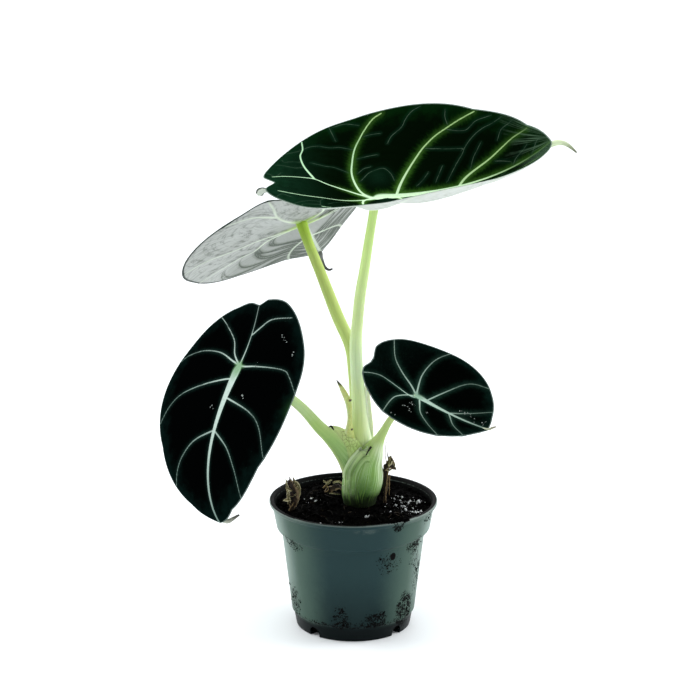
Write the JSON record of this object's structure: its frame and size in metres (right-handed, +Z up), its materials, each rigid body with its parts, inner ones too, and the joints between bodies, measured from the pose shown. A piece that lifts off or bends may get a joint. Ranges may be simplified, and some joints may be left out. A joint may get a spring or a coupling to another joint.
{
  "type": "potted alocasia plant",
  "caption": "Small potted alocasia with thick dark velvety leaves and pale veins on green stalks, in a round tapered nursery pot filled with soil.",
  "frame": {"origin": "centre of the pot's underside, at the surface that the pot stands on", "axes": "+Z up, +X to the right and -Y to the front, as the plant faces the viewer"},
  "size_m": [0.1453, 0.16, 0.184],
  "materials": {
    "pot": "satin moulded dark grey-green polypropylene, dusty, with specks of potting mix",
    "soil": "moist black peat mix with white perlite grains",
    "stem": "matte fleshy green",
    "petiole": "smooth waxy pale green with fine lengthwise veins",
    "blade": "velvety blackish green above with pale silvery veins, pale grey-green and satiny below",
    "cataphyll": "dry papery tan scale leaf with a brown tip",
    "husk": "dry shrivelled straw-coloured leaf base"
  },
  "bodies": {
    "root": {"pot": "pot", "soil": "soil", "stem": "stem", "petiole_a": "petiole", "petiole_b": "petiole", "petiole_c": "petiole", "petiole_d": "petiole", "blade_a": "blade", "blade_b": "blade", "blade_c": "blade", "blade_d": "blade", "cataphyll": "cataphyll", "husk_left": "husk", "husk_back": "husk", "husk_right": "husk"}
  },
  "joints": []
}
